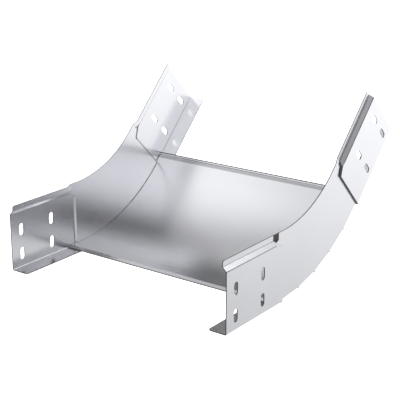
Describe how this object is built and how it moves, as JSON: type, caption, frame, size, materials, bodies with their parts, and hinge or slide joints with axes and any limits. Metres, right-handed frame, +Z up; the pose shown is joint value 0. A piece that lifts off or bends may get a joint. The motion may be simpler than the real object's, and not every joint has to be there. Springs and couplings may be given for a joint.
{
  "type": "cable tray bend",
  "caption": "Rising bend of a sheet steel cable tray, with folded side walls, a curved bottom plate and slotted couplers at both ends.",
  "frame": {"origin": "on the floor, under the middle of the bend", "axes": "+X along the tray through the bend, +Y across it to the left wall, +Z up; both open ends rise at 22.5 degrees"},
  "size_m": [0.3768, 0.3048, 0.1315],
  "materials": {
    "galvanised_sheet": "smooth bright galvanised sheet, lightly glossy"
  },
  "bodies": {
    "root": {"bottom_plate": "galvanised_sheet", "side_wall_left": "galvanised_sheet", "side_wall_right": "galvanised_sheet"}
  },
  "joints": []
}
